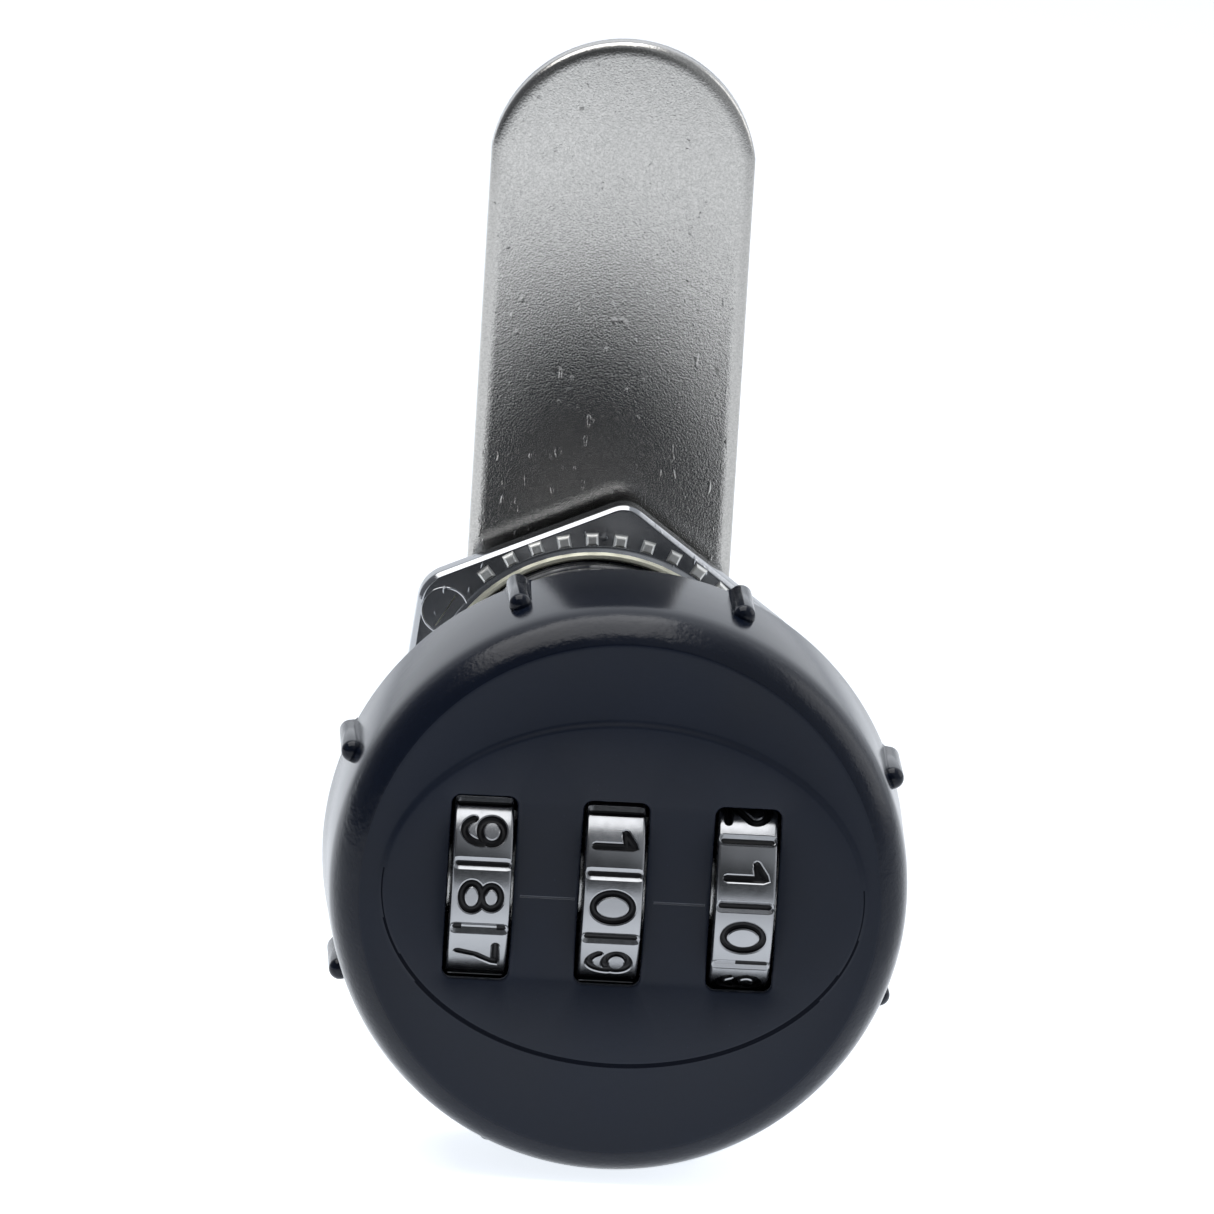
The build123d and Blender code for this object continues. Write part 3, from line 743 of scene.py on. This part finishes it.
# ---------------------------------------------------------------- cam
def cam_outline(y, inset):
    w = CAM_W / 2 - inset
    yc = math.sqrt(CAM_END_R ** 2 - (CAM_W / 2) ** 2)
    cz = CAM_TIP - CAM_END_R
    pts = []
    r = CAM_END_R - inset
    a = math.asin(min(1, w / r))
    for i in range(41):
        t = -a + 2 * a * i / 40
        pts.append((r * math.sin(t), y, cz + r * math.cos(t)))
    r2 = CAM_TAIL
    # rounded lower end: circle through the side's ends and the tail
    low = math.sqrt(max(CAM_TAIL ** 2 - (CAM_W / 2) ** 2, 0))
    r2 = CAM_TAIL - inset
    a2 = math.asin(min(1, w / r2))
    side = [cz + r * math.cos(a) + (-low - (cz + r * math.cos(a))) * i / 12 for i in range(1, 12)]
    pts += [(w, y, z) for z in side]
    for i in range(31):
        t = a2 - 2 * a2 * i / 30
        pts.append((r2 * math.sin(t), y, -r2 * math.cos(t)))
    pts += [(-w, y, z) for z in side[::-1]]
    return pts


def cam_hole(y, grow=0.0):
    h = 3.55 + grow
    pts = []
    for i in range(64):
        t = 2 * math.pi * (i + 0.5) / 64
        k = min(h / max(abs(math.sin(t)), abs(math.cos(t))), 4.47 + grow)
        pts.append((k * math.sin(t), y, k * math.cos(t)))
    return pts


def cam():
    b = Build()
    y0, y1 = CAM_Y, CAM_Y + CAM_T
    loops = [cam_outline(y0, 0.95), cam_outline(y0 + 0.022, 0.62), cam_outline(y0 + 0.075, 0.34), cam_outline(y0 + 0.17, 0.14),
             cam_outline(y0 + 0.30, 0.035), cam_outline(y0 + 0.45, 0.0),
             cam_outline(y1 - 0.16, 0.0), cam_outline(y1 - 0.05, 0.05), cam_outline(y1, 0.14)]
    ids = b.loft(loops)
    hole = b.loft([cam_hole(y0), cam_hole(y1)])
    b.fill([ids[0], hole[0]])
    b.fill([ids[-1], hole[-1]])
    return b.obj("cam_plate", [CAMM], 30, "knob", ["cam"])


cam()

# ---------------------------------------------------------------- barrel: flange and thread
def barrel():
    b = Build()
    n = 144
    pitch = 1.0
    y_start, y_end = 2.15, BARREL_END - 0.6

    def thread_ring(y, fade):
        out = []
        for i in range(n):
            t = 2 * math.pi * i / n
            ph = (y / pitch - i / n) % 1.0
            h = abs(ph - 0.5) * 2
            h = min(max((h - 0.12) / 0.72, 0), 1)
            r = THREAD_R - 0.52 * (1 - h) * fade
            out.append((r * math.sin(t), y, r * math.cos(t)))
        return out

    head = rounded([(10.4, -FLANGE_T), (FLANGE_R, -FLANGE_T, 0.3), (FLANGE_R, 0, 0.08), (9.2, 0, 0.12), (8.95, 0.15), (8.95, 2.1)], 4)
    loops = [ring(r, y, n) for r, y in head]
    count = int((y_end - y_start) / pitch * 10)
    for k in range(count + 1):
        y = y_start + (y_end - y_start) * k / count
        fade = min(1, (y - y_start) / 0.6 + 0.2)
        loops.append(thread_ring(y, fade))
    loops += [ring(r, y, n) for r, y in ((9.1, y_end + 0.3), (8.85, BARREL_END - 0.05), (8.75, BARREL_END), (4.75, BARREL_END), (4.5, BARREL_END - 0.25), (4.5, 1.3), (5.45, 1.3), (5.45, -FLANGE_T))]
    b.loft(loops)
    o = b.obj("barrel_body", [BARREL], 38, "barrel", ["barrel"])
    return o


barrel()

# ---------------------------------------------------------------- screw behind the cam
def screw():
    b = Build()
    y0 = CAM_Y + CAM_T + 0.9
    prof = rounded([(2.0, y0 - 5), (2.0, y0 + 0.02), (4.45, y0, 0.2), (4.6, y0 + 0.9, 0.6), (3.9, y0 + 1.95, 1.0), (0.02, y0 + 2.2)], 6)
    ids = lathe(b, prof, 96)
    b.cap(ids[0])
    b.cap(ids[-1])
    o = b.obj("cam_screw_head", [STEEL], 35)
    c = Build()
    for a in (35, 125):
        t = math.radians(a)
        for y, w, l in ((y0 + 0.75, 0.28, 1.2), (y0 + 2.6, 0.46, 2.5)):
            c.add([(l * math.sin(t) + w * math.cos(t), y, l * math.cos(t) - w * math.sin(t)),
                   (l * math.sin(t) - w * math.cos(t), y, l * math.cos(t) + w * math.sin(t)),
                   (-l * math.sin(t) - w * math.cos(t), y, -l * math.cos(t) + w * math.sin(t)),
                   (-l * math.sin(t) + w * math.cos(t), y, -l * math.cos(t) - w * math.sin(t))])
        s = len(c.v) - 8
        c.bridge([s, s + 1, s + 2, s + 3], [s + 4, s + 5, s + 6, s + 7])
        c.f += [(s, s + 1, s + 2, s + 3), (s + 4, s + 5, s + 6, s + 7)]
        c.m += [0, 0]
    k = c.obj("cross_recess", [STEEL], 30)
    m = o.modifiers.new("cut", "BOOLEAN")
    m.operation, m.solver, m.use_self, m.object = "DIFFERENCE", "EXACT", True, k
    dg = bpy.context.evaluated_depsgraph_get()
    me = bpy.data.meshes.new_from_object(o.evaluated_get(dg))
    o.modifiers.clear()
    o.data = me
    bpy.data.objects.remove(k)
    for p in me.polygons:
        p.use_smooth = True
    me.set_sharp_from_angle(angle=math.radians(35))
    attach(o, "knob")
    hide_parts("cam_screw")


screw()

# ---------------------------------------------------------------- CAD pieces that stay
keep = {
    "dial_sleeve_1": STEEL, "dial_sleeve_2": STEEL, "dial_sleeve_3": STEEL, "back_plate": STEEL, "dial_axle": STEEL,
    "axle_clip": SPRING, "clutch_spring": SPRING, "detent_spring": SPRING, "lock_bar": STEEL, "plate_screws": STEEL,
    "spindle": STEEL, "bearing_washer": NYLON, "lock_washer": SPRING,
}
for name, mat in keep.items():
    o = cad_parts[name]
    o.data.materials.clear()
    o.data.materials.append(mat)

# ---------------------------------------------------------------- floor, light, camera
def floor():
    """Pale table that glows as painted light, most strongly under the object to wash out its shadow and far in front
    of it.
    """
    m, nt, b = new_mat("pale_floor_painted_glow")
    v = coords(nt)
    n = noise(nt, v, 3, 2)
    nt.links.new(ramp(nt, n, [(0.3, (0.83, 0.85, 0.88)), (0.7, (0.86, 0.88, 0.91))]), b.inputs["Base Color"])
    b.inputs["Roughness"].default_value = 0.9
    b.inputs["Specular IOR Level"].default_value = 0.1
    sep = node(nt, "ShaderNodeSeparateXYZ")
    nt.links.new(v, sep.inputs[0])
    side = node(nt, "ShaderNodeMath", operation="ABSOLUTE")
    nt.links.new(sep.outputs["X"], side.inputs[0])
    near = node(nt, "ShaderNodeMapping")
    near.inputs["Location"].default_value = (0.0, 0.006, 0.0)
    near.inputs["Scale"].default_value = (1.0, 1.0, 0.0)
    nt.links.new(v, near.inputs["Vector"])
    reach = node(nt, "ShaderNodeVectorMath", operation="LENGTH")
    nt.links.new(near.outputs["Vector"], reach.inputs[0])
    # painted light: the floor glows more under the object, filling its shadow, and far in front of it
    painted_fill_under = span(nt, reach.outputs["Value"], 0.018, 0.055, 0.85, 0.17)
    painted_glow_front = node(nt, "ShaderNodeMath", operation="MULTIPLY_ADD")
    nt.links.new(span(nt, sep.outputs["Y"], -0.15, -0.08, 0.31, 0.0), painted_glow_front.inputs[0])
    nt.links.new(span(nt, side.outputs[0], 0.06, 0.12, 1.0, 0.0), painted_glow_front.inputs[1])
    nt.links.new(painted_fill_under, painted_glow_front.inputs[2])
    nt.links.new(painted_glow_front.outputs[0], b.inputs["Emission Strength"])
    b.inputs["Emission Color"].default_value = (0.95, 1.0, 1.06, 1)
    me = bpy.data.meshes.new("floor")
    s, z = 8.0, -0.01695
    me.from_pydata([(-s, -s, z), (s, -s, z), (s, s, z), (-s, s, z)], [], [(0, 1, 2, 3)])
    me.materials.append(m)
    o = bpy.data.objects.new("floor", me)
    bpy.context.scene.collection.objects.link(o)


floor()

world = bpy.data.worlds.new("studio")
bpy.context.scene.world = world
world.use_nodes = True
nt = world.node_tree
nt.nodes.clear()
out = node(nt, "ShaderNodeOutputWorld")
bg = node(nt, "ShaderNodeBackground")
tc = node(nt, "ShaderNodeTexCoord")
dot = node(nt, "ShaderNodeVectorMath", operation="DOT_PRODUCT")
d = Vector((-0.03, -0.95, 0.30)).normalized()
dot.inputs[1].default_value = d
nt.links.new(tc.outputs["Generated"], dot.inputs[0])
half = span(nt, dot.outputs["Value"], -1.0, 1.0, 0.0, 1.0)
# light behind the object, dimmer towards the viewer, dark round the camera
sky = ramp(nt, half, [(0.35, (0.93, 0.97, 1.03)), (0.60, (0.60, 0.625, 0.67)), (0.80, (0.44, 0.46, 0.49)),
                      (0.95, (0.46, 0.48, 0.51)), (0.985, (0.15, 0.16, 0.17)), (1.0, (0.08, 0.085, 0.09))])
side = node(nt, "ShaderNodeVectorMath", operation="DOT_PRODUCT")
side.inputs[1].default_value = Vector((-0.88, -0.15, 0.45)).normalized()
nt.links.new(tc.outputs["Generated"], side.inputs[0])
dim = ramp(nt, side.outputs["Value"], [(0.25, (1, 1, 1)), (0.75, (0.25, 0.25, 0.26))])
both = node(nt, "ShaderNodeMix", data_type="RGBA", blend_type="MULTIPLY")
both.inputs[0].default_value = 1.0
nt.links.new(sky, both.inputs[6])
nt.links.new(dim, both.inputs[7])
nt.links.new(both.outputs[2], bg.inputs["Color"])
bg.inputs["Strength"].default_value = 1.0
nt.links.new(bg.outputs[0], out.inputs["Surface"])


def area(name, loc, target, size, radiance, color=(1, 1, 1)):
    """A soft box: size is (width, height) in metres, radiance what it looks like when seen."""
    l = bpy.data.lights.new(name, "AREA")
    l.shape = "RECTANGLE"
    l.size, l.size_y = size
    l.energy = radiance * math.pi * size[0] * size[1]
    l.color = color
    o = bpy.data.objects.new(name, l)
    o.location = loc
    o.rotation_euler = (Vector(target) - Vector(loc)).to_track_quat("-Z", "Y").to_euler()
    bpy.context.scene.collection.objects.link(o)


area("overhead", (-0.14, 0.07, 0.5), (-0.14, 0.07, 0), (0.52, 0.56), 3.0)
area("right_box", (0.6, 0.13, 0.3), (0, 0, 0), (0.45, 0.45), 1.1)


def rot(rv):
    v = Vector(rv)
    return Matrix.Rotation(v.length, 3, v.normalized())


# camera pose in a frame with X right, Y up and Z towards the viewer, its origin on the knob's front edge circle
FIT = dict(rv=(0.2234, 0.0417, -0.0556), tx=0.6753, ty=-16.274, dist=899.996, px_mm=17.4457)
M = rot(FIT["rv"])


def to_row(v):
    return Vector((v[0], -v[2], v[1]))


eye = M.transposed() @ (Vector((0, 0, FIT["dist"])) - Vector((FIT["tx"], FIT["ty"], 0)))
pos = to_row(eye) + Vector((0, KNOB_EDGE_Y, 0))
right, up, back = (to_row(M[i]) for i in range(3))
cam_data = bpy.data.cameras.new("camera")
cam_data.sensor_fit = "HORIZONTAL"
cam_data.sensor_width = 36.0
cam_data.lens = 36.0 * FIT["px_mm"] * FIT["dist"] / 1214
cam_data.clip_start = 0.01
cam_data.clip_end = 50
cam_obj = bpy.data.objects.new("camera", cam_data)
mat = Matrix((right, up, back)).transposed().to_4x4()
mat.translation = pos * MM
cam_obj.matrix_world = mat
bpy.context.scene.collection.objects.link(cam_obj)
bpy.context.scene.camera = cam_obj
bpy.context.scene.view_settings.view_transform = "Standard"
bpy.context.scene.view_settings.look = "None"
